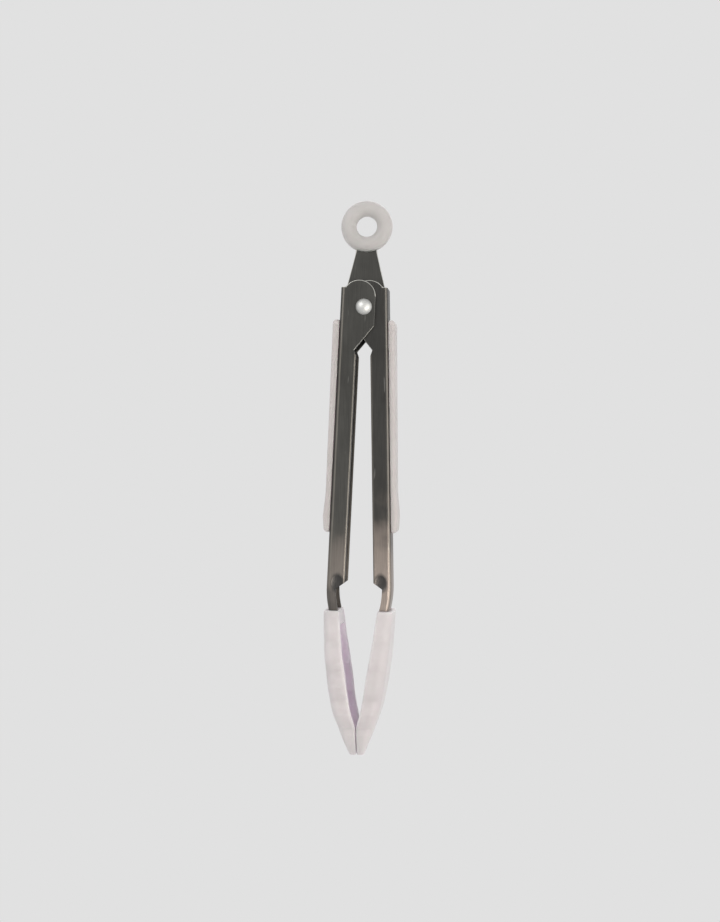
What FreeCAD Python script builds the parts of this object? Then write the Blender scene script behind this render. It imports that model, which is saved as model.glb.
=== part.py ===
import FreeCAD, Part
import Sketcher
import math
import os

# Locking kitchen tongs, hung from their ring with the arms closed and locked.
# Origin: centre of the ring's hole. +Z is up, X runs across the two arms, and the hinge pin lies along Y.
# Heights below are counted from the hinge pin, whose centre is the height 0 of every sub-part's own frame.

Vector = FreeCAD.Vector

# Driving sizes in millimetres, angles in degrees.
DRIVING_SIZES = {
    # whole object
    "ring_to_pin": 35.5,
    "lean": 1.8,  # how far each closed arm leans outwards, in degrees
    "running_gap": 0.05,  # between faces that slide on each other
    # arms, pressed from one sheet each
    "sheet": 1.0,
    "web_width": 16.0,
    "web_offset": 10.2,  # outer face of the web to the pin's centre
    "web_top": 8.5,
    "flange_depth": 7.8,
    "bend_radius": 1.6,
    "edge_break": 0.2,
    "ear_radius": 7.1,
    "ear_centre_across": -2.1,
    "ear_centre_up": 4.4,
    "ear_side_drop": 8.3,
    "ear_taper": 0.4,
    "ear_corner": 2.0,
    "shoulder_corner": 1.2,
    "throat_corner": 0.8,
    "throat_drop": 18.7,
    "throat_half": 3.9,
    "lip_drop": 21.0,
    "lip_width": 1.1,
    "lip_depth": 1.9,
    "lip_radius": 0.7,
    "arm_drop": 118.7,  # pin to the lower corner of the flanges
    "waist_below": 2.7,  # the next sizes named "below" are counted down from that corner
    "neck_below": 1.5,
    "neck_bend_radius": 40.0,
    "neck_turn": 12.5,  # the neck's steepest lean inwards, in degrees
    "return_bend_radius": 30.0,
    "return_turn": 1.5,
    "paddle_bend_radius": 190.0,
    "paddle_turn": 14.5,
    "neck_depth": 4.1,
    "neck_waist_radius": 35.0,
    "swage_across": 4.6,  # from the web's outer face
    "swage_below": 0.1,
    "swage_depth": 0.45,
    "swage_half_width": 3.0,
    "swage_half_height": 4.0,
    # hinge
    "pin_radius": 1.7,
    "head_radius": 3.45,
    "head_height": 1.8,
    "tail_radius": 3.2,
    "tail_height": 1.1,
    "spacer_radius": 3.2,
    "wire_radius": 0.65,
    "coil_radius": 3.0,
    "whole_turns": 2.0,
    "leg_drop": 26.0,
    # locking tab
    "tab_thickness": 1.2,
    "tab_top_half": 4.74,
    "tab_taper": 1.0,
    "tab_top_up": 23.5,
    "tab_web_gap": 0.53,  # from the tab's widest corners to the webs they hold apart
    "tab_wide_up": 8.5,
    "tongue_half": 4.5,
    "tongue_top_up": 1.0,
    "tongue_end_drop": 5.0,
    "slot_travel": 9.2,
    "eye_outer": 9.2,
    "eye_inner": 6.3,
    # ring
    "ring_outer": 11.2,
    "ring_hole": 4.48,
    "ring_thickness": 6.5,
    "ring_land": 2.6,
    "ring_round": 3.4,
    # grips
    "grip_top_drop": 5.4,
    "grip_length": 91.8,
    "grip_inset": 0.5,
    "grip_thickness": 3.0,
    "grip_waist": 2.5,
    "grip_waist_drop": 80.0,
    "grip_heel": 3.2,
    "grip_heel_drop": 90.0,
    "grip_foot": 2.56,
    "grip_end_radius": 1.8,
    "grip_edge_radius": 1.5,
    "peg_radius": 2.0,
    "peg_first_drop": 33.0,  # clear of the spring's legs
    "peg_spacing": 27.0,
    "peg_head_radius": 3.0,
    "peg_head_height": 1.2,
    # gripping heads
    "collar_below": 12.0,
    "collar_swell": 0.77,  # how far the collar's back stands out from the line of the web
    "head_length": 62.5,
    "head_width": 36.0,
    "head_gap": 0.3,
    "head_wall": 3.6,
    "head_corner": 4.0,
    "scallop_depth": 1.1,
    "scoop_overreach": 12.0,
}

PEG_COUNT = 3
SCALLOP_COUNT = 5
STEPS_PER_SCALLOP = 4
DEGREES_PER_COIL_STEP = 20
LEG_STEPS = 8
SAME_PLACE = 1e-4

# The gripping head from its collar to its end: the share of its length, then the distances of its back and
# of its rim from the middle plane as shares of the collar's back, and the share of its full width.
HEAD_STATIONS = (
    (0.00, 1.000, 0.546, 0.62),
    (0.26, 0.927, 0.417, 0.94),
    (0.42, 0.854, 0.308, 1.00),
    (0.66, 0.695, 0.159, 0.92),
    (0.82, 0.487, 0.000, 0.70),
    (1.00, 0.205, 0.000, 0.36),
)
SCOOP_FROM, SCOOP_TO = 0.07, 0.88  # the shares between which the head is hollow

doc = FreeCAD.newDocument("KitchenTongs")
sheet = doc.addObject("Spreadsheet::Sheet", "Sizes")
for row, (alias, value) in enumerate(DRIVING_SIZES.items(), start=1):
    sheet.set(f"A{row}", alias)
    sheet.set(f"B{row}", str(value))
    sheet.setAlias(f"B{row}", alias)
doc.recompute()


def size(name):
    """A driving size, read from the sheet."""
    return float(sheet.get(name))


def bound(words):
    """An expression over the sheet's aliases, such as '2 * sheet', as FreeCAD writes it."""
    names = sorted(DRIVING_SIZES, key=len, reverse=True)
    out, token = "", ""
    for letter in words + " ":
        if letter.isalnum() or letter == "_":
            token += letter
            continue
        out += f"Sizes.{token}" if token in names else token
        out += letter
        token = ""
    return out.strip()


def value_of(words):
    """What such an expression comes to now."""
    found = sheet.evalExpression(bound(words))
    return float(getattr(found, "Value", found))


def bind(item, prop, words):
    item.setExpression(prop, bound(words))


# ---- sketches ----


def origin_plane(body, role):
    return next(f for f in body.Origin.OriginFeatures if f.Role == role)


def new_sketch(body, name, role="XZ_Plane"):
    sketch = body.newObject("Sketcher::SketchObject", name)
    sketch.AttachmentSupport = [(origin_plane(body, role), "")]
    sketch.MapMode = "FlatFace"
    return sketch


def bound_distance(sketch, kind, geometry, point, words):
    index = sketch.addConstraint(Sketcher.Constraint(kind, -1, 1, geometry, point, value_of(words)))
    sketch.setExpression(f"Constraints[{index}]", bound(words))


def arc_between(start, end, radius):
    """The shorter arc from start to end. A positive radius turns left on the way, a negative one right."""
    chord = end - start
    middle = (start + end) * 0.5
    rise = math.sqrt(radius * radius - chord.Length * chord.Length / 4)
    side = Vector(-chord.y, chord.x, 0).normalize() * math.copysign(rise, radius)
    centre = middle + side
    first = math.atan2(start.y - centre.y, start.x - centre.x)
    last = math.atan2(end.y - centre.y, end.x - centre.x)
    circle = Part.Circle(centre, Vector(0, 0, 1), abs(radius))
    if radius > 0:
        return Part.ArcOfCircle(circle, first, last), 1, 2
    return Part.ArcOfCircle(circle, last, first), 2, 1


def outline(sketch, corners):
    """Draws a closed outline of corners (across, up), or (across, up, radius) where an arc leads there."""
    spots = [Vector(value_of(c[0]), value_of(c[1]), 0) for c in corners]
    ends = []
    for index, corner in enumerate(corners):
        start, end = spots[index - 1], spots[index]
        if len(corner) == 3:
            arc, first, last = arc_between(start, end, value_of(corner[2]))
            geometry = sketch.addGeometry(arc, False)
            ends.append((geometry, first, last))
        else:
            geometry = sketch.addGeometry(Part.LineSegment(start, end), False)
            ends.append((geometry, 1, 2))
    for index, (geometry, first, last) in enumerate(ends):
        following, follow_first, _ = ends[(index + 1) % len(ends)]
        sketch.addConstraint(Sketcher.Constraint("Coincident", geometry, last, following, follow_first))
    for index, corner in enumerate(corners):
        geometry, _, last = ends[index]
        bound_distance(sketch, "DistanceX", geometry, last, corner[0])
        bound_distance(sketch, "DistanceY", geometry, last, corner[1])
        if len(corner) == 3:
            words = corner[2].lstrip("-")
            fact = sketch.addConstraint(Sketcher.Constraint("Radius", geometry, value_of(words)))
            sketch.setExpression(f"Constraints[{fact}]", bound(words))
    return sketch


def circle_at(sketch, across, up, radius):
    centre = Vector(value_of(across), value_of(up), 0)
    geometry = sketch.addGeometry(Part.Circle(centre, Vector(0, 0, 1), value_of(radius)), False)
    bound_distance(sketch, "DistanceX", geometry, 3, across)
    bound_distance(sketch, "DistanceY", geometry, 3, up)
    fact = sketch.addConstraint(Sketcher.Constraint("Radius", geometry, value_of(radius)))
    sketch.setExpression(f"Constraints[{fact}]", bound(radius))
    return sketch


# ---- features ----


def pad(body, name, sketch, length):
    feature = body.newObject("PartDesign::Pad", name)
    feature.Profile = sketch
    feature.SideType = "Symmetric"
    bind(feature, "Length", length)
    doc.recompute()
    return feature


def pocket(body, name, sketch, length):
    """Cuts the sketch to both sides of its plane, and makes sure that it took something away."""
    before = body.Shape.Volume
    feature = body.newObject("PartDesign::Pocket", name)
    feature.Profile = sketch
    feature.SideType = "Symmetric"
    bind(feature, "Length", length)
    doc.recompute()
    if not body.Shape.Volume < before:
        raise ValueError(f"{name} cuts nothing")
    return feature


def revolve(body, name, sketch, axis):
    feature = body.newObject("PartDesign::Revolution", name)
    feature.Profile = sketch
    feature.ReferenceAxis = (sketch, [axis])
    feature.Angle = 360
    doc.recompute()
    return feature


def fillet(body, name, wanted, radius):
    """Rounds the edges of the body's tip that `wanted` picks."""
    base = body.Tip
    names = [f"Edge{i}" for i, edge in enumerate(base.Shape.Edges, start=1) if wanted(edge)]
    if not names:
        raise ValueError(f"{name} finds no edge")
    feature = body.newObject("PartDesign::Fillet", name)
    feature.Base = (base, names)
    bind(feature, "Radius", radius)
    doc.recompute()
    if not feature.Shape.isValid() or "Invalid" in feature.State:
        raise ValueError(f"{name} can't be rounded")
    return feature


def corner_at(across, up):
    """Picks the edges along Y through one corner of an outline."""
    spot = Vector(value_of(across), 0, value_of(up))

    def wanted(edge):
        here = edge.CenterOfMass
        along = edge.Vertexes[0].Point - edge.Vertexes[-1].Point
        return abs(here.x - spot.x) < 0.02 and abs(here.z - spot.z) < 0.02 and abs(along.y) > 0.5

    return wanted


def place(item, turned):
    """Sets a sub-part at the hinge pin, turned half a turn about Z on the right-hand side."""
    turn = FreeCAD.Rotation(Vector(0, 0, 1), 180 if turned else 0)
    item.Placement = FreeCAD.Placement(Vector(0, 0, 0), turn)
    bind(item, "Placement.Base.z", "-ring_to_pin")


# ---- arms ----

WEB = "-web_offset + ({up}) * tan(lean * 1deg)"


def web_at(up):
    """The outer face of the left arm's web at a height."""
    return WEB.format(up=up)


def inside_web_at(up):
    return web_at(up) + " + sheet"


def free_edge_at(up):
    return web_at(up) + " + flange_depth"


SHOULDER = "ear_centre_across - sqrt(ear_radius^2 - (web_top - ear_centre_up)^2)"
WAIST_UP = "-arm_drop - waist_below"
NECK_UP = "-arm_drop - neck_below"
SWAGE_UP = "-arm_drop - swage_below"
EAR_SIDE = "ear_centre_across + ear_radius"
TAB_WIDE_HALF = "web_offset - sheet - tab_wide_up * tan(lean * 1deg) - tab_web_gap"
COLLAR_BACK = "web_offset + (arm_drop + collar_below) * tan(lean * 1deg) + collar_swell"

# Below the straight web the sheet runs in three tangent arcs: (radius, lean at the start, lean at the end),
# each lean counted inwards from straight down.
BENDS = (
    ("neck_bend_radius", "-lean", "neck_turn"),
    ("return_bend_radius", "neck_turn", "return_turn"),
    ("paddle_bend_radius", "return_turn", "paddle_turn"),
)


def bend_ends(depth):
    """The ends of the bends as outline corners, on the face `depth` inside the sheet's outer face."""
    across, up = web_at(NECK_UP), NECK_UP
    corners = [(f"{across} + ({depth}) * cos(lean * 1deg)", f"{up} - ({depth}) * sin(lean * 1deg)")]
    for index, (radius, start, end) in enumerate(BENDS):
        inwards = index != 1
        turn = "" if inwards else "-"
        across += f" + {turn}{radius} * (cos(({start}) * 1deg) - cos({end} * 1deg))"
        up += f" - {turn}{radius} * (sin({end} * 1deg) - sin(({start}) * 1deg))"
        here = f"{across} + ({depth}) * cos({end} * 1deg)", f"{up} + ({depth}) * sin({end} * 1deg)"
        corners.append((*here, f"{radius} - ({depth})" if inwards else f"-({radius} + {depth})"))
    return corners


def head_at(share):
    """Back, rim and half width of the gripping head at a share of its length."""
    rows = HEAD_STATIONS
    index = max(i for i in range(len(rows) - 1) if rows[i][0] <= share)
    low, high = rows[index], rows[index + 1]
    before, after = rows[max(index - 1, 0)], rows[min(index + 2, len(rows) - 1)]
    span = high[0] - low[0]
    part = (share - low[0]) / span
    found = []
    for column in (1, 2, 3):
        slope_low = (high[column] - before[column]) / (high[0] - before[0])
        slope_high = (after[column] - low[column]) / (after[0] - low[0])
        found.append(
            (2 * part**3 - 3 * part**2 + 1) * low[column]
            + (part**3 - 2 * part**2 + part) * span * slope_low
            + (3 * part**2 - 2 * part**3) * high[column]
            + (part**3 - part**2) * span * slope_high
        )
    back, rim, width = found
    collar = value_of(COLLAR_BACK)
    return back * collar, max(rim * collar, size("head_gap") / 2), width * size("head_width") / 2


def arm_outline(body):
    """The flange's full outline: web, ear, free edge and neck, and the block that the paddle is cut from."""
    bends = bend_ends("0")
    return outline(
        new_sketch(body, body.Name + "Outline"),
        [
            (web_at("web_top"), "web_top"),
            *bends,
            (bends[3][0] + " + neck_depth", bends[3][1]),
            (bends[1][0] + " + neck_depth", bends[1][1]),
            (web_at(WAIST_UP) + " + neck_depth", WAIST_UP, "-neck_waist_radius"),
            (free_edge_at("-arm_drop"), "-arm_drop"),
            (free_edge_at("-lip_drop"), "-lip_drop"),
            ("-throat_half", "-throat_drop"),
            (EAR_SIDE + " - ear_taper", "-ear_side_drop"),
            (EAR_SIDE, "ear_centre_up"),
            (SHOULDER, "web_top", "ear_radius"),
        ],
    )


def channel_outline(body):
    """The hollow between the flanges, without the strip where the free edges are folded in."""
    right = "ear_radius + web_offset"
    lip = free_edge_at("-arm_drop") + " - lip_width"
    bends = bend_ends("sheet")
    return outline(
        new_sketch(body, body.Name + "Channel"),
        [
            (inside_web_at("web_top * 2"), "web_top * 2"),
            *bends,
            (bends[3][0] + " + sheet", bends[3][1]),
            (bends[3][0] + " + sheet", WAIST_UP),
            (lip, "-arm_drop"),
            (free_edge_at("-lip_drop") + " - lip_width", "-lip_drop"),
            (right, "-lip_drop"),
            (right, "web_top * 2"),
        ],
    )


def paddle_outline(body):
    """What is cut away beside the paddle, which keeps one thickness of sheet."""
    bends = bend_ends("sheet")
    right = bends[3][0] + " + 2 * neck_depth"
    foot = bends[3][1] + " - sheet * 2"
    return outline(
        new_sketch(body, body.Name + "PaddleSide"),
        [bends[2], bends[3], (bends[3][0], foot), (right, foot), (right, bends[2][1])],
    )


def lip_outline(body):
    """The strip along the free edges, which stays thicker where the sheet is folded in."""
    return outline(
        new_sketch(body, body.Name + "LipGap"),
        [
            (free_edge_at("-lip_drop") + " - lip_width - sheet", "-lip_drop"),
            (free_edge_at(WAIST_UP) + " - lip_width - sheet", WAIST_UP + " - neck_below"),
            (free_edge_at(WAIST_UP) + " + sheet", WAIST_UP + " - neck_below"),
            (free_edge_at("-lip_drop") + " + sheet", "-lip_drop"),
        ],
    )


def lies_on_side(edge, half):
    """An edge whose two ends lie on the same side face, `half` from the middle."""
    first, last = edge.Vertexes[0].Point.y, edge.Vertexes[-1].Point.y
    return abs(first - last) < SAME_PLACE and abs(abs(first) - half) < SAME_PLACE


def on_outer_face(edge):
    return lies_on_side(edge, size("web_width") / 2)


def web_near(edge):
    """Where the web's outer face is at the height of an edge's middle."""
    return -size("web_offset") + edge.CenterOfMass.z * math.tan(math.radians(size("lean")))


def is_bend_edge(edge):
    """An edge of the sheet's outer face, where it turns into a flange, all the way down."""
    here = edge.CenterOfMass
    if not on_outer_face(edge) or edge.Length < size("sheet") * 4:
        return False
    if here.z > value_of(NECK_UP):
        return abs(here.x - web_near(edge)) < size("sheet") / 2
    bends = bend_ends("0")
    near_web = here.x < web_near(edge) + size("neck_depth") - size("sheet")
    on_paddle = here.z < value_of(bends[2][1]) and here.x < value_of(bends[3][0])
    return near_web or on_paddle


def is_lip_edge(edge):
    on_free_edge = abs(edge.CenterOfMass.x - web_near(edge) - size("flange_depth")) < size("sheet") / 10
    return on_outer_face(edge) and on_free_edge and edge.Length > size("arm_drop") / 3


def is_ear_edge(edge):
    """The outline of the outer faces round the ear, whose corners are broken."""
    here = edge.CenterOfMass
    past_bend = here.x > web_near(edge) + 2 * size("bend_radius")
    return on_outer_face(edge) and past_bend and here.z > -size("lip_drop")


def arm(name, turned):
    """One arm, as a single pressed sheet: web, two flanges with ears, neck and paddle."""
    body = doc.addObject("PartDesign::Body", name)
    body.Label = name
    pad(body, name + "Blank", arm_outline(body), "web_width")
    for corner, spot, radius in (
        ("Ear", corner_at(EAR_SIDE + " - ear_taper", "-ear_side_drop"), "ear_corner"),
        ("Throat", corner_at("-throat_half", "-throat_drop"), "throat_corner"),
        ("Shoulder", corner_at(SHOULDER, "web_top"), "shoulder_corner"),
    ):
        fillet(body, name + corner + "Corner", spot, radius)
    fillet(body, name + "Bends", is_bend_edge, "bend_radius")
    fillet(body, name + "Lips", is_lip_edge, "lip_radius")
    fillet(body, name + "EarBreaks", is_ear_edge, "edge_break")
    pocket(body, name + "Hollow", channel_outline(body), "web_width - 2 * sheet")
    pocket(body, name + "LipHollow", lip_outline(body), "web_width - 2 * lip_depth")
    pocket(body, name + "Paddle", paddle_outline(body), "web_width * 2")
    hole = circle_at(new_sketch(body, name + "PinCircle"), "0", "0", "pin_radius + running_gap")
    pocket(body, name + "PinHole", hole, "web_width * 2")
    for side in (1, -1):
        swage(body, f"{name}Swage{'Rear' if side > 0 else 'Front'}", side)
    for index in range(PEG_COUNT):
        peg_hole(body, f"{name}PegHole{index + 1}", index)
    place(body, turned)
    bind(body, "Placement.Base.y", ("" if turned else "-") + "(sheet + running_gap) / 2")
    return body


def swage(body, name, side):
    """The oval dent pressed into a flange where it narrows to the neck."""
    dent = body.newObject("PartDesign::SubtractiveEllipsoid", name)
    dent.Angle1, dent.Angle2, dent.Angle3 = -90, 90, 360
    bind(dent, "Radius1", "swage_half_height")
    bind(dent, "Radius2", "swage_half_width")
    bind(dent, "Radius3", "2 * swage_depth")
    bind(dent, "Placement.Base.x", web_at(SWAGE_UP) + " + swage_across")
    bind(dent, "Placement.Base.y", f"{side} * (web_width / 2 + swage_depth)")
    bind(dent, "Placement.Base.z", SWAGE_UP)
    doc.recompute()


def peg_up(index):
    return f"-peg_first_drop - {index} * peg_spacing"


def peg_hole(body, name, index):
    """A round hole through the web for one of the grip's pegs."""
    sketch = new_sketch(body, name + "Circle", "YZ_Plane")
    circle_at(sketch, "0", peg_up(index), "peg_radius + running_gap")
    before = body.Shape.Volume
    cut = body.newObject("PartDesign::Pocket", name)
    cut.Profile = sketch
    cut.SideType = "One side"
    cut.Reversed = False
    bind(cut, "Length", "web_offset * 2")
    doc.recompute()
    if not body.Shape.Volume < before:
        raise ValueError(f"{name} cuts nothing")


# ---- hinge ----


def hinge_rivet():
    """The domed rivet through all four ears, its far end peened to a flatter head."""
    body = doc.addObject("PartDesign::Body", "hinge_rivet")
    body.Label = "hinge_rivet"
    half = "web_width / 2 + (sheet + running_gap) / 2 + running_gap"
    head = "(head_radius^2 + head_height^2) / (2 * head_height)"
    tail = "(tail_radius^2 + tail_height^2) / (2 * tail_height)"
    profile = outline(
        new_sketch(body, "RivetProfile", "XY_Plane"),
        [
            ("0", f"-({half}) - head_height"),
            ("head_radius", f"-({half})", head),
            ("pin_radius", f"-({half})"),
            ("pin_radius", half),
            ("tail_radius", half),
            ("0", f"{half} + tail_height", tail),
        ],
    )
    revolve(body, "RivetTurned", profile, "V_Axis")
    place(body, False)
    return body


def rivet_spacer():
    """The tube on the rivet that holds the tab's front face in the middle."""
    body = doc.addObject("PartDesign::Body", "rivet_spacer")
    body.Label = "rivet_spacer"
    front = "-web_width / 2 + sheet * 1.5 + running_gap * 2"
    back = "-tab_thickness / 2 - running_gap * 3"
    profile = outline(
        new_sketch(body, "SpacerProfile", "XY_Plane"),
        [
            ("pin_radius + running_gap", front),
            ("spacer_radius", front),
            ("spacer_radius", back),
            ("pin_radius + running_gap", back),
        ],
    )
    revolve(body, "SpacerTurned", profile, "V_Axis")
    place(body, False)
    return body


def torsion_spring():
    """One length of wire: a coil on the rivet behind the tab, with a leg down the inside of each web."""
    coil, wire, gap = size("coil_radius"), size("wire_radius"), size("running_gap")
    drop = size("leg_drop")
    reach = size("web_offset") - size("sheet") + drop * math.tan(math.radians(size("lean")))
    foot = Vector(reach - wire - 2 * gap, 0, -drop)
    # a leg leaves the coil where it is tangent to it
    leaving = math.atan2(foot.z, foot.x) + math.acos(coil / foot.Length)
    turn = math.pi - 2 * leaving + 2 * math.pi * size("whole_turns")
    front = size("tab_thickness") / 2 + 2 * gap + wire
    rear = size("web_width") / 2 - 1.5 * size("sheet") - 3 * gap - wire
    steps = math.ceil(turn / math.radians(DEGREES_PER_COIL_STEP))
    coiled = []
    for index in range(steps + 1):
        share = index / steps
        angle = math.pi - leaving - turn * share
        # the coil starts and ends flat, in line with its legs
        across_hinge = front + (rear - front) * (3 - 2 * share) * share**2
        coiled.append(Vector(coil * math.cos(angle), across_hinge, coil * math.sin(angle)))
    left_foot, right_foot = Vector(-foot.x, front, foot.z), Vector(foot.x, rear, foot.z)
    shares = [index / LEG_STEPS for index in range(LEG_STEPS)]
    left_leg = [left_foot + (coiled[0] - left_foot) * share for share in shares]
    right_leg = [right_foot + (coiled[-1] - right_foot) * share for share in reversed(shares)]
    middle = Part.BSplineCurve()
    middle.interpolate(left_leg + coiled + right_leg)
    section = Part.Wire(Part.makeCircle(wire, left_foot, coiled[0] - left_foot))
    spring = doc.addObject("Part::Feature", "torsion_spring")
    spring.Shape = Part.Wire(middle.toShape()).makePipeShell([section], True, False)
    spring.Label = "torsion_spring"
    place(spring, False)
    return spring


# ---- locking tab and ring ----


def lock_tab():
    """The flat tab: an eye inside the ring, a wide plate that holds the webs apart, and a slotted tongue."""
    body = doc.addObject("PartDesign::Body", "lock_tab")
    body.Label = "lock_tab"
    plate = outline(
        new_sketch(body, "TabOutline"),
        [
            ("-tab_top_half + tab_taper", "ring_to_pin"),
            ("-tab_top_half", "tab_top_up"),
            (f"-({TAB_WIDE_HALF})", "tab_wide_up"),
            ("-tongue_half", "tongue_top_up"),
            ("-tongue_half", "-tongue_end_drop + tongue_half"),
            ("tongue_half", "-tongue_end_drop + tongue_half", "tongue_half + 0.001"),
            ("tongue_half", "tongue_top_up"),
            (TAB_WIDE_HALF, "tab_wide_up"),
            ("tab_top_half", "tab_top_up"),
            ("tab_top_half - tab_taper", "ring_to_pin"),
        ],
    )
    pad(body, "TabPlate", plate, "tab_thickness")
    for side, across in (("Left", f"-({TAB_WIDE_HALF})"), ("Right", TAB_WIDE_HALF)):
        fillet(body, f"Tab{side}Corner", corner_at(across, "tab_wide_up"), "shoulder_corner")
    eye = circle_at(new_sketch(body, "EyeCircle"), "0", "ring_to_pin", "eye_outer")
    pad(body, "TabEye", eye, "tab_thickness")
    eye_hole = circle_at(new_sketch(body, "EyeHoleCircle"), "0", "ring_to_pin", "eye_inner")
    pocket(body, "TabEyeHole", eye_hole, "web_width")
    slot_half = "pin_radius + running_gap * 3"
    slot = outline(
        new_sketch(body, "SlotOutline"),
        [
            (f"-({slot_half})", "0"),
            (slot_half, "0", f"{slot_half} + 0.001"),
            (slot_half, "slot_travel"),
            (f"-({slot_half})", "slot_travel", f"{slot_half} + 0.001"),
        ],
    )
    pocket(body, "TabSlot", slot, "web_width")
    place(body, False)
    return body


def hang_ring(tab):
    """The soft ring moulded round the tab's eye."""
    body = doc.addObject("PartDesign::Body", "RingBlank")
    section = outline(
        new_sketch(body, "RingSection", "XY_Plane"),
        [
            ("ring_hole", "-ring_land / 2"),
            ("(ring_hole + ring_outer) / 2", "-ring_thickness / 2", "ring_round"),
            ("ring_outer", "0", "ring_round"),
            ("(ring_hole + ring_outer) / 2", "ring_thickness / 2", "ring_round"),
            ("ring_hole", "ring_land / 2", "ring_round"),
        ],
    )
    revolve(body, "RingTurned", section, "V_Axis")
    ring = doc.addObject("Part::Cut", "hang_ring")
    ring.Base = body
    ring.Tool = tab
    ring.Label = "hang_ring"
    doc.recompute()
    return ring


# ---- grips ----


def grip(name, turned):
    """A moulded pad on the web's outer face, held by pegs with spread heads on the inside."""
    body = doc.addObject("PartDesign::Body", name)
    body.Label = name
    bottom = "-grip_top_drop - grip_length"
    top_corner = (grip_face_at("-grip_top_drop") + " - grip_thickness", "-grip_top_drop")
    foot_corner = (grip_face_at(bottom) + " - grip_foot", bottom)
    profile = outline(
        new_sketch(body, name + "Profile"),
        [
            (grip_face_at("-grip_top_drop"), "-grip_top_drop"),
            top_corner,
            (grip_face_at("-grip_waist_drop") + " - grip_waist", "-grip_waist_drop"),
            (grip_face_at("-grip_heel_drop") + " - grip_heel", "-grip_heel_drop"),
            foot_corner,
            (grip_face_at(bottom), bottom),
        ],
    )
    pad(body, name + "Pad", profile, "web_width - 2 * grip_inset")
    fillet(body, name + "TopEnd", corner_at(*top_corner), "grip_end_radius")
    fillet(body, name + "FootEnd", corner_at(*foot_corner), "grip_end_radius")
    fillet(body, name + "Edges", grip_face_edge, "grip_edge_radius")
    for index in range(PEG_COUNT):
        peg(body, f"{name}Peg{index + 1}", index)
    place(body, turned)
    bind(body, "Placement.Base.y", ("" if turned else "-") + "(sheet + running_gap) / 2")
    return body


def grip_face_at(up):
    """The face of the grip that lies on the web."""
    return web_at(up) + " - running_gap"


def grip_face_edge(edge):
    """The long edges of a grip's outer face, and of its rounded ends."""
    on_side = lies_on_side(edge, size("web_width") / 2 - size("grip_inset"))
    return on_side and edge.CenterOfMass.x < web_near(edge) - size("grip_edge_radius")


def peg(body, name, index):
    """One peg through the web, and its head spread against the inside."""
    up = peg_up(index)
    # the web leans, so the head stands clear of it by a share of the head's radius
    seat = "sheet + running_gap + peg_head_radius * tan(lean * 1deg)"
    for part, radius, low, length in (
        ("Shank", "peg_radius", web_at(up) + " - sheet", f"sheet + {seat} + peg_head_height / 2"),
        ("Head", "peg_head_radius", web_at(up) + " + " + seat, "peg_head_height"),
    ):
        bar = body.newObject("PartDesign::AdditiveCylinder", name + part)
        bar.Placement = FreeCAD.Placement(Vector(0, 0, 0), FreeCAD.Rotation(Vector(0, 1, 0), 90))
        bind(bar, "Radius", radius)
        bind(bar, "Height", length)
        bind(bar, "Placement.Base.x", low)
        bind(bar, "Placement.Base.z", up)
        doc.recompute()


# ---- gripping heads ----


def scalloped(share, half_width):
    """The half width with the rim's waves, which fade at the collar."""
    wave = abs(math.sin(math.pi * SCALLOP_COUNT * share))
    return half_width - size("scallop_depth") * (1 - wave) * min(1, 8 * share)


def head_section(share, grown, beyond):
    """A cross-section of the head, taken in by `grown` all round, its open side moved out by `beyond`."""
    back, rim, half_width = head_at(share)
    half = scalloped(share, half_width) - grown
    far, near = -back + grown, -rim + beyond
    corner = min(size("head_corner") - grown * 0.6, 0.5 * (near - far), half * 0.6)
    up = value_of("-arm_drop - collar_below") - share * size("head_length")
    bevel = corner * (1 - math.sqrt(0.5))
    start, end = Vector(near, -half, up), Vector(near, half, up)
    low, low_turn = Vector(far + corner, -half, up), Vector(far, -half + corner, up)
    high, high_turn = Vector(far + corner, half, up), Vector(far, half - corner, up)
    edges = [
        Part.LineSegment(start, low),
        Part.Arc(low, Vector(far + bevel, -half + bevel, up), low_turn),
        Part.LineSegment(low_turn, high_turn),
        Part.Arc(high_turn, Vector(far + bevel, half - bevel, up), high),
        Part.LineSegment(high, end),
        Part.LineSegment(end, start),
    ]
    return Part.Wire([edge.toShape() for edge in edges])


def gripping_head(name, arm_body, turned):
    """The silicone head moulded over the arm's paddle, hollow on its gripping side."""
    steps = SCALLOP_COUNT * STEPS_PER_SCALLOP
    shares = [index / steps for index in range(steps + 1)]
    solid = Part.makeLoft([head_section(share, 0, 0) for share in shares], True, True)
    wall = size("head_wall")
    reach = size("scoop_overreach")
    scooped = [share for share in shares if SCOOP_FROM < share < SCOOP_TO]
    scoop = Part.makeLoft([head_section(share, wall, reach) for share in scooped], True, True)
    blank = doc.addObject("Part::Feature", name + "Blank")
    blank.Shape = solid.cut(scoop)
    place(blank, turned)
    head = doc.addObject("Part::Cut", name)
    head.Base = blank
    head.Tool = arm_body
    head.Label = name
    doc.recompute()
    return head


# ---- the assembly ----

tab = lock_tab()
nodes = [tab, hang_ring(tab), hinge_rivet(), rivet_spacer(), torsion_spring()]
for side_name, is_right in (("left", False), ("right", True)):
    side_arm = arm(side_name + "_arm", is_right)
    nodes.append(side_arm)
    nodes.append(grip(side_name + "_grip", is_right))
    nodes.append(gripping_head(side_name + "_tip", side_arm, is_right))
doc.recompute()

for item in doc.Objects:
    if {"Invalid", "Error"} & set(item.State):
        raise ValueError(f"{item.Name} failed: {item.State}")
os.makedirs("parts", exist_ok=True)
for node in nodes:
    shape = node.Shape
    if shape.isNull() or not shape.isValid() or len(shape.Solids) != 1:
        raise ValueError(f"{node.Label} isn't one valid solid")
    shape.exportStep(f"parts/{node.Label}.step")
    print(f"{node.Label:16s} {shape.Volume:9.1f} mm3")
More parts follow.
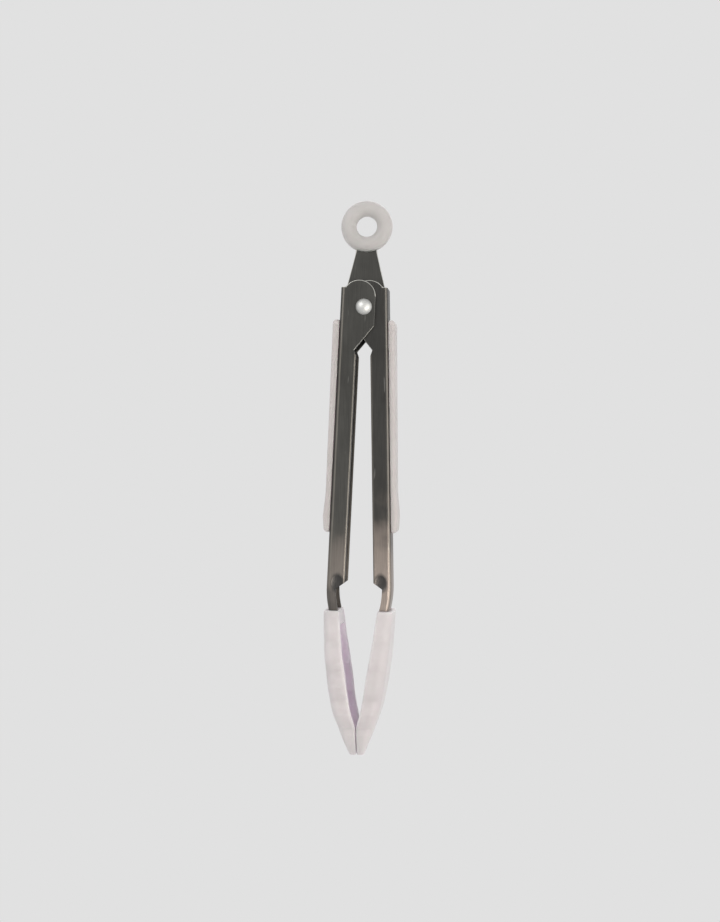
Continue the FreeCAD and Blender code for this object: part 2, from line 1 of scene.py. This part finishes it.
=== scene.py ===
import math
import bpy
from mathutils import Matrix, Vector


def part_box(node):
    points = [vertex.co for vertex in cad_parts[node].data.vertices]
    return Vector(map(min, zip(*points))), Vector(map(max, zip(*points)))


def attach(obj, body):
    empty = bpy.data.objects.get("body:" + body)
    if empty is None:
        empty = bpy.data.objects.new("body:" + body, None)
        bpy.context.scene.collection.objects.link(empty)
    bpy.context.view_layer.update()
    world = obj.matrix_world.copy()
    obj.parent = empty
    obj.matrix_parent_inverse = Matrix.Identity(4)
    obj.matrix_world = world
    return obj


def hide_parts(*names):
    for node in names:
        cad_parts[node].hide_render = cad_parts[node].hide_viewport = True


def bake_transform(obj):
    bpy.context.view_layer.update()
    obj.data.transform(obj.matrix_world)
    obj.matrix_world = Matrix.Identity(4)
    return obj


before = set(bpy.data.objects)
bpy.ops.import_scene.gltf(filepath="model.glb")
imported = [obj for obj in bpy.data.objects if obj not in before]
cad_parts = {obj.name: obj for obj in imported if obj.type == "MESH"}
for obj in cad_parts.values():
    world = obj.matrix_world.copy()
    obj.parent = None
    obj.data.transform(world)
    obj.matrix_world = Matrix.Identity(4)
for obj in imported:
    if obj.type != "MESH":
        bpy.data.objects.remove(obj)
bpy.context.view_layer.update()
scene = bpy.context.scene
mm = 0.001
pinHeight = (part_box("hinge_rivet")[0][2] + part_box("hinge_rivet")[1][2]) / 2  # the rivet's centre
print("frame loaded")


def addNode(tree, kind, **values):
    node = tree.nodes.new(kind)
    for key, value in values.items():
        setattr(node, key, value)
    return node


def setInputs(node, **values):
    for key, value in values.items():
        node.inputs[key.replace("_", " ")].default_value = value
    return node


def startGroup(name, inputs, outputs):
    group = bpy.data.node_groups.new(name, "ShaderNodeTree")
    for label, kind in inputs:
        group.interface.new_socket(label, in_out="INPUT", socket_type=kind)
    for label, kind in outputs:
        group.interface.new_socket(label, in_out="OUTPUT", socket_type=kind)
    return group, group.nodes.new("NodeGroupInput"), group.nodes.new("NodeGroupOutput")


# noise drawn out along Z, as an abrasive belt leaves it
def makeBrushedGrain():
    group, given, found = startGroup(
        "brushedGrain",
        [("Vector", "NodeSocketVector"), ("Across", "NodeSocketFloat"), ("Along", "NodeSocketFloat")],
        [("Grain", "NodeSocketFloat"), ("Cloud", "NodeSocketFloat")],
    )
    stretch = addNode(group, "ShaderNodeCombineXYZ")
    scaled = addNode(group, "ShaderNodeVectorMath", operation="MULTIPLY")
    lines = setInputs(addNode(group, "ShaderNodeTexNoise"), Scale=1.0, Detail=4.0, Roughness=0.6)
    cloud = setInputs(addNode(group, "ShaderNodeTexNoise"), Scale=70.0, Detail=3.0, Roughness=0.5)
    group.links.new(given.outputs["Across"], stretch.inputs[0])
    group.links.new(given.outputs["Across"], stretch.inputs[1])
    group.links.new(given.outputs["Along"], stretch.inputs[2])
    group.links.new(given.outputs["Vector"], scaled.inputs[0])
    group.links.new(stretch.outputs[0], scaled.inputs[1])
    group.links.new(scaled.outputs[0], lines.inputs["Vector"])
    group.links.new(given.outputs["Vector"], cloud.inputs["Vector"])
    group.links.new(lines.outputs[0], found.inputs["Grain"])
    group.links.new(cloud.outputs[0], found.inputs["Cloud"])
    return group


# short thin scratches, at a slant to the grain
def makeScratches():
    group, given, found = startGroup(
        "handlingScratches",
        [("Vector", "NodeSocketVector"), ("Amount", "NodeSocketFloat")],
        [("Mask", "NodeSocketFloat")],
    )
    turned = addNode(group, "ShaderNodeMapping")
    turned.inputs["Rotation"].default_value = (0.3, 0.5, 0.2)
    turned.inputs["Scale"].default_value = (900.0, 900.0, 90.0)
    noise = setInputs(addNode(group, "ShaderNodeTexNoise"), Scale=1.0, Detail=1.0, Roughness=0.4)
    sharp = setInputs(addNode(group, "ShaderNodeMapRange"), From_Min=0.74, From_Max=0.78)
    amount = addNode(group, "ShaderNodeMath", operation="MULTIPLY")
    group.links.new(given.outputs["Vector"], turned.inputs["Vector"])
    group.links.new(turned.outputs[0], noise.inputs["Vector"])
    group.links.new(noise.outputs[0], sharp.inputs["Value"])
    group.links.new(sharp.outputs[0], amount.inputs[0])
    group.links.new(given.outputs["Amount"], amount.inputs[1])
    group.links.new(amount.outputs[0], found.inputs["Mask"])
    return group


brushedGrain = makeBrushedGrain()
handlingScratches = makeScratches()


def mixColours(tree, factor, first, second, blendType="MIX"):
    mix = addNode(tree, "ShaderNodeMix", data_type="RGBA", blend_type=blendType)
    for socket, value in ((mix.inputs[0], factor), (mix.inputs[6], first), (mix.inputs[7], second)):
        if isinstance(value, bpy.types.NodeSocket):
            tree.links.new(value, socket)
        else:
            socket.default_value = value
    return mix.outputs[2]


def math2(tree, operation, first, second):
    node = addNode(tree, "ShaderNodeMath", operation=operation)
    for socket, value in ((node.inputs[0], first), (node.inputs[1], second)):
        if isinstance(value, bpy.types.NodeSocket):
            tree.links.new(value, socket)
        else:
            socket.default_value = value
    return node.outputs[0]


def mapped(tree, value, low, high, toLow=0.0, toHigh=1.0):
    node = addNode(tree, "ShaderNodeMapRange", interpolation_type="SMOOTHSTEP")
    setInputs(node, From_Min=low, From_Max=high, To_Min=toLow, To_Max=toHigh)
    tree.links.new(value, node.inputs["Value"])
    return node.outputs[0]


def startMaterial(name):
    material = bpy.data.materials.new(name)
    material.use_nodes = True
    tree = material.node_tree
    place = addNode(tree, "ShaderNodeTexCoord").outputs["Object"]
    return material, tree, tree.nodes["Principled BSDF"], place


# noise values seldom leave 0.3 to 0.7
def overNoise(tree, noise, toLow=0.0, toHigh=1.0):
    return mapped(tree, noise, 0.3, 0.7, toLow, toHigh)


def bumpFrom(tree, shader, height, strength, distance):
    bump = setInputs(addNode(tree, "ShaderNodeBump"), Strength=strength, Distance=distance)
    tree.links.new(height, bump.inputs["Height"])
    tree.links.new(bump.outputs[0], shader.inputs["Normal"])


# steel sheet, brushed lengthwise, with painted reflection: dark at the hinge and warmer and brighter towards
# the heads; painted highlights along bends, lips and cut edges, and painted shade in the dents
steel = {
    # upper and lower are painted reflection: the same steel dark at the hinge and warmer and brighter towards
    # the heads
    "upper": (0.068, 0.067, 0.062, 1), "lower": (0.19, 0.17, 0.152, 1), "paintedBendHighlight": (0.26, 0.24, 0.21, 1),
    # rightUpper and rightLower: a lit and shaded copy of the same steel for the right arm, painted light
    "rightUpper": (0.052, 0.051, 0.048, 1), "rightLower": (0.28, 0.24, 0.212, 1),
    "scratch": (0.50, 0.49, 0.46, 1), "pressed": (0.045, 0.045, 0.045, 1), "cut": (0.72, 0.71, 0.66, 1),
    "across": 5200.0, "along": 90.0, "roughLow": 0.32, "roughHigh": 0.46,
    "reflectionRampFrom": -0.118, "reflectionRampTo": -0.158, "grainBump": 0.08, "scratches": 0.15,
    "anisotropic": 0.5,
    "sideGleam": 0.1, "slantGleam": 0.55, "leftNeckShade": 0.5,
}
# how the arm is cut and pressed, measured from the pin
arm = {
    "webOffset": 10.2 * mm, "lean": math.tan(math.radians(1.8)), "flange": 7.8 * mm,
    "earAcross": -2.1 * mm, "earUp": 4.4 * mm, "earRadius": 7.1 * mm, "earFoot": (4.6 * mm, -8.3 * mm),
    "throat": (-3.9 * mm, -18.7 * mm), "lineWidth": 0.36 * mm, "webTop": 8.5 * mm,
    "lineSoft": 0.1 * mm, "shoulder": -7.6 * mm,
    "leftGleam": (0.9 * mm, 1.5 * mm), "rightGleam": (0.3 * mm, 0.9 * mm),
    "swageIn": 4.6 * mm, "swageDown": 118.8 * mm, "swageWide": 3.0 * mm, "swageHigh": 4.4 * mm,
}
tab = {"topHalf": 4.74 * mm, "topUp": 23.5 * mm, "wideHalf": 8.4 * mm, "wideUp": 8.5 * mm}


def between(tree, value, low, high, soft):
    rising = mapped(tree, value, low - soft, low + soft)
    falling = mapped(tree, value, high - soft, high + soft, 1.0, 0.0)
    return math2(tree, "MULTIPLY", rising, falling)


def lineMask(tree, away):
    return mapped(tree, away, arm["lineWidth"] * 0.4, arm["lineWidth"], 1.0, 0.0)


def nearLine(tree, across, up, first, last):
    width, height = last[0] - first[0], last[1] - first[1]
    length = math.hypot(width, height)
    one = math2(tree, "MULTIPLY", math2(tree, "SUBTRACT", across, first[0]), height / length)
    two = math2(tree, "MULTIPLY", math2(tree, "SUBTRACT", up, first[1]), width / length)
    away = math2(tree, "ABSOLUTE", math2(tree, "SUBTRACT", one, two), 0.0)
    lowest, highest = sorted((first[1], last[1]))
    reached = between(tree, up, lowest, highest, arm["lineSoft"])
    return math2(tree, "MULTIPLY", lineMask(tree, away), reached)


# painted highlight along the cut edge round an ear: its arc, its side and the slant down to the throat
def earEdgeHighlight(tree, across, up):
    east = math2(tree, "SUBTRACT", across, arm["earAcross"])
    north = math2(tree, "SUBTRACT", up, arm["earUp"])
    reach = math2(tree, "SQRT", math2(tree, "ADD", math2(tree, "MULTIPLY", east, east),
                                      math2(tree, "MULTIPLY", north, north)), 0.0)
    off = math2(tree, "ABSOLUTE", math2(tree, "SUBTRACT", reach, arm["earRadius"]), 0.0)
    soft = arm["lineSoft"]
    towardsWeb = mapped(tree, east, soft, -soft)
    lowest = math2(tree, "MULTIPLY", towardsWeb, arm["webTop"] - arm["earUp"])
    arc = math2(tree, "MULTIPLY", lineMask(tree, off),
                mapped(tree, math2(tree, "SUBTRACT", north, lowest), -soft, soft))
    level = math2(tree, "ABSOLUTE", math2(tree, "SUBTRACT", up, arm["webTop"]), 0.0)
    level = math2(tree, "MULTIPLY", lineMask(tree, level),
                  mapped(tree, across, arm["shoulder"] + soft, arm["shoulder"] - soft))
    arc = math2(tree, "MAXIMUM", arc, level)
    sideTop = (arm["earAcross"] + arm["earRadius"], arm["earUp"])
    side = nearLine(tree, across, up, sideTop, arm["earFoot"])
    slant = nearLine(tree, across, up, arm["earFoot"], arm["throat"])
    # the side and the slant get a weaker painted highlight than the arc
    side = math2(tree, "MULTIPLY", side, steel["sideGleam"])
    slant = math2(tree, "MULTIPLY", slant, steel["slantGleam"])
    return math2(tree, "MAXIMUM", arc, math2(tree, "MAXIMUM", side, slant))


# side is -1 on the left arm, 1 on the right arm and 0 on the tab
def makeSteel(name, side):
    material, tree, shader, place = startMaterial(name)
    grain = addNode(tree, "ShaderNodeGroup", node_tree=brushedGrain)
    setInputs(grain, Across=steel["across"], Along=steel["along"])
    marks = addNode(tree, "ShaderNodeGroup", node_tree=handlingScratches)
    setInputs(marks, Amount=steel["scratches"])
    tree.links.new(place, grain.inputs["Vector"])
    tree.links.new(place, marks.inputs["Vector"])
    axes = addNode(tree, "ShaderNodeSeparateXYZ")
    tree.links.new(place, axes.inputs[0])
    up = math2(tree, "SUBTRACT", axes.outputs[2], pinHeight)
    wander = overNoise(tree, grain.outputs["Cloud"], -9 * mm, 9 * mm)
    # painted reflection: the base colour ramps from the dark upper tone to the warmer, brighter lower tone
    # down the arm
    paintedReflectionRamp = mapped(tree, math2(tree, "ADD", axes.outputs[2], wander), steel["reflectionRampFrom"], steel["reflectionRampTo"])
    # the right arm takes its own painted pair, darker above and brighter below than the left arm
    onRight = side > 0
    colour = mixColours(tree, paintedReflectionRamp, steel["rightUpper" if onRight else "upper"],
                        steel["rightLower" if onRight else "lower"])
    if side:
        across = math2(tree, "MULTIPLY", axes.outputs[0], float(-side))
        # how far in from the web's outer face, which leans outwards on the way down
        web = math2(tree, "SUBTRACT", arm["webOffset"], math2(tree, "MULTIPLY", up, arm["lean"]))
        inwards = math2(tree, "ADD", web, across)
        straight = mapped(tree, up, -19 * mm, -22 * mm)
        # painted highlight: lighter steel in stripes along the outer bend and the curled lip, where the bends
        # catch the light, placed and weighted apart for each arm
        gleam = arm["rightGleam" if onRight else "leftGleam"]
        bendHighlightMask = math2(tree, "MULTIPLY", between(tree, inwards, gleam[0], gleam[1], 0.3 * mm), 0.6)
        lipHighlightMask = mapped(tree, inwards, arm["flange"] - 0.9 * mm, arm["flange"] - 0.3 * mm, 0.0, 0.5)
        colour = mixColours(tree, bendHighlightMask, colour, steel["paintedBendHighlight"])
        colour = mixColours(tree, math2(tree, "MULTIPLY", lipHighlightMask, straight), colour, steel["paintedBendHighlight"])
        # painted shade: the dent where the flange narrows is darkened in colour, standing in for the dark
        # reflection in it
        wide = math2(tree, "DIVIDE", math2(tree, "SUBTRACT", inwards, arm["swageIn"]), arm["swageWide"])
        high = math2(tree, "DIVIDE", math2(tree, "ADD", up, arm["swageDown"]), arm["swageHigh"])
        spread = math2(tree, "ADD", math2(tree, "MULTIPLY", wide, wide), math2(tree, "MULTIPLY", high, high))
        dentShade = mapped(tree, spread, 0.35, 1.3, 0.9, 0.0)
        colour = mixColours(tree, dentShade, colour, steel["pressed"])
        # painted shade: the left arm's neck below the dent is darkened too
        if not onRight:
            neckTop = -arm["swageDown"]
            neckShade = mapped(tree, up, neckTop, neckTop - arm["swageHigh"], 0.0, steel["leftNeckShade"])
            colour = mixColours(tree, neckShade, colour, steel["pressed"])
        cutEdge = earEdgeHighlight(tree, across, up)
    else:
        slope = (tab["wideHalf"] - tab["topHalf"]) / (tab["topUp"] - tab["wideUp"])
        half = math2(tree, "MULTIPLY", math2(tree, "SUBTRACT", tab["topUp"], up), slope)
        half = math2(tree, "ADD", half, tab["topHalf"])
        aside = math2(tree, "SUBTRACT", half, math2(tree, "ABSOLUTE", axes.outputs[0], 0.0))
        # painted highlight along the tab's two slanted edges
        cutEdge = mapped(tree, aside, 0.12 * mm, 0.3 * mm, 0.8, 0.0)
        cutEdge = math2(tree, "MULTIPLY", cutEdge, mapped(tree, up, 8.0 * mm, 8.6 * mm))
    tone = mapped(tree, grain.outputs["Grain"], 0.25, 0.75, 0.86, 1.14)
    tone = math2(tree, "MULTIPLY", tone, overNoise(tree, grain.outputs["Cloud"], 0.92, 1.08))
    shade = addNode(tree, "ShaderNodeCombineColor")
    for index in range(3):
        tree.links.new(tone, shade.inputs[index])
    colour = mixColours(tree, 1.0, colour, shade.outputs[0], "MULTIPLY")
    cutEdge = math2(tree, "MULTIPLY", cutEdge, overNoise(tree, grain.outputs["Cloud"], 0.45, 0.85))
    colour = mixColours(tree, cutEdge, colour, steel["cut"])
    colour = mixColours(tree, marks.outputs["Mask"], colour, steel["scratch"])
    tree.links.new(colour, shader.inputs["Base Color"])
    tree.links.new(mapped(tree, grain.outputs["Grain"], 0.2, 0.8, steel["roughLow"], steel["roughHigh"]),
                   shader.inputs["Roughness"])
    shader.inputs["Metallic"].default_value = 1.0
    shader.inputs["Anisotropic"].default_value = steel["anisotropic"]
    bumpFrom(tree, shader, grain.outputs["Grain"], steel["grainBump"], 0.02 * mm)
    return material


wire = {"colour": (0.62, 0.62, 0.61, 1), "dull": (0.46, 0.46, 0.45, 1), "roughLow": 0.20, "roughHigh": 0.30}
rivet = {"colour": (0.60, 0.60, 0.58, 1), "dull": (0.47, 0.47, 0.46, 1), "roughLow": 0.46, "roughHigh": 0.54}


def makePolished(name, polish):
    material, tree, shader, place = startMaterial(name)
    grain = addNode(tree, "ShaderNodeGroup", node_tree=brushedGrain)
    setInputs(grain, Across=900.0, Along=900.0)
    marks = addNode(tree, "ShaderNodeGroup", node_tree=handlingScratches)
    setInputs(marks, Amount=0.3)
    tree.links.new(place, grain.inputs["Vector"])
    tree.links.new(place, marks.inputs["Vector"])
    worn = mapped(tree, grain.outputs["Grain"], 0.45, 0.75, 0.0, 0.5)
    colour = mixColours(tree, worn, polish["colour"], polish["dull"])
    colour = mixColours(tree, marks.outputs["Mask"], colour, polish["dull"])
    tree.links.new(colour, shader.inputs["Base Color"])
    tree.links.new(overNoise(tree, grain.outputs["Cloud"], polish["roughLow"], polish["roughHigh"]),
                   shader.inputs["Roughness"])
    shader.inputs["Metallic"].default_value = 1.0
    bumpFrom(tree, shader, grain.outputs["Grain"], 0.08, 0.02 * mm)
    return material


silicone = {"roughLow": 0.48, "roughHigh": 0.62, "throughWeight": 0.9, "throughDepth": 8 * mm,
            "through": (1.0, 0.85, 0.95), "skinBump": 0.12, "rimGlowShare": 0.45}


# moulded silicone: matt, faintly mottled, with a fine satin skin; the heads get painted light, a lighter
# lilac on the rim and on the walls of the hollow where they would lie in shade
def makeSilicone(name, colour, deeper, innerGlow, sheen):
    material, tree, shader, place = startMaterial(name)
    mottle = setInputs(addNode(tree, "ShaderNodeTexNoise"), Scale=55.0, Detail=3.0, Roughness=0.55)
    skin = setInputs(addNode(tree, "ShaderNodeTexNoise"), Scale=2600.0, Detail=2.0, Roughness=0.5)
    tree.links.new(place, mottle.inputs["Vector"])
    tree.links.new(place, skin.inputs["Vector"])
    blended = mixColours(tree, overNoise(tree, mottle.outputs[0], 0.0, 0.6), colour, deeper)
    if innerGlow:
        axes = addNode(tree, "ShaderNodeSeparateXYZ")
        facing = addNode(tree, "ShaderNodeSeparateXYZ")
        tree.links.new(place, axes.inputs[0])
        tree.links.new(tree.nodes["Texture Coordinate"].outputs["Normal"], facing.inputs[0])
        # painted light on the rim, which faces the other head, and on the walls of the hollow, which face the
        # middle plane
        sideways = math2(tree, "MULTIPLY", math2(tree, "SIGN", axes.outputs[0], 0.0), facing.outputs[0])
        backwards = math2(tree, "MULTIPLY", math2(tree, "SIGN", axes.outputs[1], 0.0), facing.outputs[1])
        innerGlowMask = math2(tree, "MAXIMUM", mapped(tree, sideways, -0.6, -0.95, 0.0, silicone["rimGlowShare"]),
                       mapped(tree, backwards, -0.2, -0.7))
        blended = mixColours(tree, innerGlowMask, blended, innerGlow)
    tree.links.new(blended, shader.inputs["Base Color"])
    rough = overNoise(tree, skin.outputs[0], silicone["roughLow"], silicone["roughHigh"])
    tree.links.new(rough, shader.inputs["Roughness"])
    shader.inputs["Subsurface Weight"].default_value = silicone["throughWeight"]
    shader.inputs["Subsurface Scale"].default_value = silicone["throughDepth"]
    shader.inputs["Subsurface Radius"].default_value = silicone["through"]
    shader.inputs["Sheen Weight"].default_value = sheen
    bumpFrom(tree, shader, skin.outputs[0], silicone["skinBump"], 0.03 * mm)
    return material


leftArmSteel = makeSteel("leftArmSteel", -1)
rightArmSteel = makeSteel("rightArmSteel", 1)
tabSteel = makeSteel("tabSteel", 0)
rivetSteel = makePolished("rivetSteel", rivet)
springWire = makePolished("springWire", wire)
# the heads' third colour is the painted lighter lilac inside the hollow
headSilicone = makeSilicone("headSilicone", (0.49, 0.468, 0.462, 1), (0.45, 0.43, 0.428, 1),
                            (0.74, 0.69, 0.74, 1), 0.1)
gripSilicone = makeSilicone("gripSilicone", (0.41, 0.388, 0.374, 1), (0.37, 0.345, 0.33, 1), None, 0.08)
ringSilicone = makeSilicone("ringSilicone", (0.41, 0.40, 0.385, 1), (0.37, 0.36, 0.345, 1), None, 0.08)
print("materials made")


def finish(node, material):
    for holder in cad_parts[node].material_slots:
        holder.material = material


for node, material in (
    ("left_arm", leftArmSteel), ("right_arm", rightArmSteel), ("lock_tab", tabSteel),
    ("hinge_rivet", rivetSteel), ("rivet_spacer", rivetSteel),
):
    finish(node, material)
print("steel parts finished")


def copyOf(node, name):
    bpy.ops.object.select_all(action="DESELECT")
    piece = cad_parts[node].copy()
    piece.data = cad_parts[node].data.copy()
    piece.parent = None
    for key in list(piece.keys()):
        del piece[key]
    piece.name = name
    piece.data.name = name
    scene.collection.objects.link(piece)
    bpy.context.view_layer.objects.active = piece
    piece.select_set(True)
    bpy.ops.object.mode_set(mode="EDIT")
    bpy.ops.mesh.select_all(action="SELECT")
    bpy.ops.mesh.remove_doubles(threshold=0.001 * mm)
    bpy.ops.mesh.normals_make_consistent(inside=False)
    bpy.ops.object.mode_set(mode="OBJECT")
    return piece


def applyModifier(piece, kind, **values):
    modifier = piece.modifiers.new(kind.lower(), kind)
    for key, value in values.items():
        setattr(modifier, key, value)
    bpy.ops.object.modifier_apply(modifier=modifier.name)


# a moulded piece: no corner of it is sharp
def moulded(name, node, body, material, look):
    piece = copyOf(node, name)
    applyModifier(piece, "REMESH", mode="VOXEL", voxel_size=look["voxel"])
    applyModifier(piece, "SMOOTH", factor=0.5, iterations=look["smoothing"])
    bpy.ops.object.shade_smooth()
    piece.data.materials.clear()
    piece.data.materials.append(material)
    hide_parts(node)
    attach(piece, body)
    print(name, len(piece.data.polygons), "faces")
    return piece


head = {"voxel": 0.42 * mm, "smoothing": 7}
grip = {"voxel": 0.40 * mm, "smoothing": 4}
ring = {"voxel": 0.30 * mm, "smoothing": 3}
for side in ("left", "right"):
    moulded(side + "Head", side + "_tip", side + "_half", headSilicone, head)
    moulded(side + "Grip", side + "_grip", side + "_half", gripSilicone, grip)
moulded("hangRing", "hang_ring", "tab", ringSilicone, ring)
print("moulded pieces made")


# half of the spring, from the middle of its coil to one foot
def springHalf(name, side):
    piece = copyOf("torsion_spring", name)
    low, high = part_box("torsion_spring")
    middle = (low[1] + high[1]) / 2
    bpy.ops.object.mode_set(mode="EDIT")
    bpy.ops.mesh.select_all(action="SELECT")
    bpy.ops.mesh.bisect(plane_co=(0, middle, 0), plane_no=(0, 1, 0), use_fill=True,
                        clear_outer=side < 0, clear_inner=side > 0)
    bpy.ops.mesh.select_all(action="SELECT")
    bpy.ops.mesh.normals_make_consistent(inside=False)
    bpy.ops.object.mode_set(mode="OBJECT")
    bpy.ops.object.shade_smooth_by_angle(angle=math.radians(40))
    piece.data.materials.clear()
    piece.data.materials.append(springWire)
    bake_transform(piece)
    print(name, len(piece.data.polygons), "faces")
    return piece


leftSpring = springHalf("springLeftHalf", -1)
rightSpring = springHalf("springRightHalf", 1)
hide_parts("torsion_spring")
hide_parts("torsion_spring")
print("spring made")

studio = {"radius": 3.0, "floor": -0.45, "cove": 0.8, "top": 2.2, "glow": 0.753}


# a round pale studio floor that curves up into its wall; it glows evenly, so no light draws an edge on it
def makeStudio():
    bpy.ops.object.select_all(action="DESELECT")
    bpy.ops.mesh.primitive_circle_add(vertices=96, radius=studio["radius"] - studio["cove"], fill_type="NGON",
                                      location=(0, 0, studio["floor"]))
    dish = bpy.context.object
    dish.name = "studioFloor"
    bpy.ops.object.transform_apply(location=True)
    bpy.ops.object.mode_set(mode="EDIT")
    bpy.ops.mesh.select_all(action="SELECT")
    steps, radius, height = 12, studio["radius"] - studio["cove"], studio["floor"]
    for index in range(1, steps + 1):
        turn = math.pi / 2 * index / steps
        nextRadius = studio["radius"] - studio["cove"] * (1 - math.sin(turn))
        nextHeight = studio["floor"] + studio["cove"] * (1 - math.cos(turn))
        bpy.ops.mesh.extrude_region_move(TRANSFORM_OT_translate={"value": (0, 0, nextHeight - height)})
        grow = nextRadius / radius
        bpy.ops.transform.resize(value=(grow, grow, 1), center_override=(0, 0, nextHeight))
        radius, height = nextRadius, nextHeight
    bpy.ops.mesh.extrude_region_move(TRANSFORM_OT_translate={"value": (0, 0, studio["top"] - height)})
    bpy.ops.mesh.select_all(action="SELECT")
    bpy.ops.mesh.normals_make_consistent(inside=True)
    bpy.ops.object.mode_set(mode="OBJECT")
    bpy.ops.object.shade_smooth()
    paint = bpy.data.materials.new("studioPaint")
    paint.use_nodes = True
    wall = paint.node_tree.nodes["Principled BSDF"]
    wall.inputs["Base Color"].default_value = (0, 0, 0, 1)
    wall.inputs["Specular IOR Level"].default_value = 0.0
    wall.inputs["Roughness"].default_value = 1.0
    wall.inputs["Emission Color"].default_value = (1, 1, 1, 1)
    wall.inputs["Emission Strength"].default_value = studio["glow"]
    dish.data.materials.append(paint)
    dish.visible_diffuse = False
    dish.visible_glossy = False
    dish.visible_shadow = False


makeStudio()
air = {"colour": (0.86, 0.86, 0.87, 1), "strength": 0.95}
world = bpy.data.worlds.new("studioAir")
scene.world = world
world.use_nodes = True
world.node_tree.nodes["Background"].inputs["Color"].default_value = air["colour"]
world.node_tree.nodes["Background"].inputs["Strength"].default_value = air["strength"]

# name, place, width, power and tint of each soft box
softBoxes = (
    ("keyBox", (-0.95, -1.15, 0.75), 0.9, 9.0, (1.0, 0.99, 0.97)),
    ("fillBox", (1.2, -0.9, 0.05), 0.9, 5.0, (1.0, 0.98, 0.95)),
    ("warmBox", (0.55, -0.9, -0.38), 0.5, 4.0, (1.0, 0.93, 0.85)),
    ("backBox", (0.2, 1.4, 0.8), 1.0, 7.0, (1.0, 1.0, 1.0)),
)
for name, spot, width, power, tint in softBoxes:
    light = bpy.data.lights.new(name, "AREA")
    light.size = width
    light.energy = power
    light.color = tint
    holder = bpy.data.objects.new(name, light)
    scene.collection.objects.link(holder)
    holder.location = spot
    away = holder.location.copy()
    away.z += 0.10  # they all aim at the middle of the tongs
    holder.rotation_euler = away.to_track_quat("Z", "Y").to_euler()
    holder.visible_camera = False
print("studio made")

camera = {"distance": 0.70, "azimuth": 5.2, "roll": 1.03, "height": -0.1018, "aside": -0.0012, "lens": 62.9}
lens = bpy.data.cameras.new("camera")
lens.sensor_fit = "VERTICAL"
lens.sensor_height = 36.0
lens.lens = camera["lens"]
lens.clip_start = 0.05
view = bpy.data.objects.new("camera", lens)
scene.collection.objects.link(view)
turn = math.radians(camera["azimuth"])
view.location = (camera["aside"] + camera["distance"] * math.sin(turn),
                 -camera["distance"] * math.cos(turn), camera["height"])
view.rotation_euler = (math.pi / 2, -math.radians(camera["roll"]), turn)
scene.camera = view
scene.view_settings.view_transform = "Standard"
print("camera set")
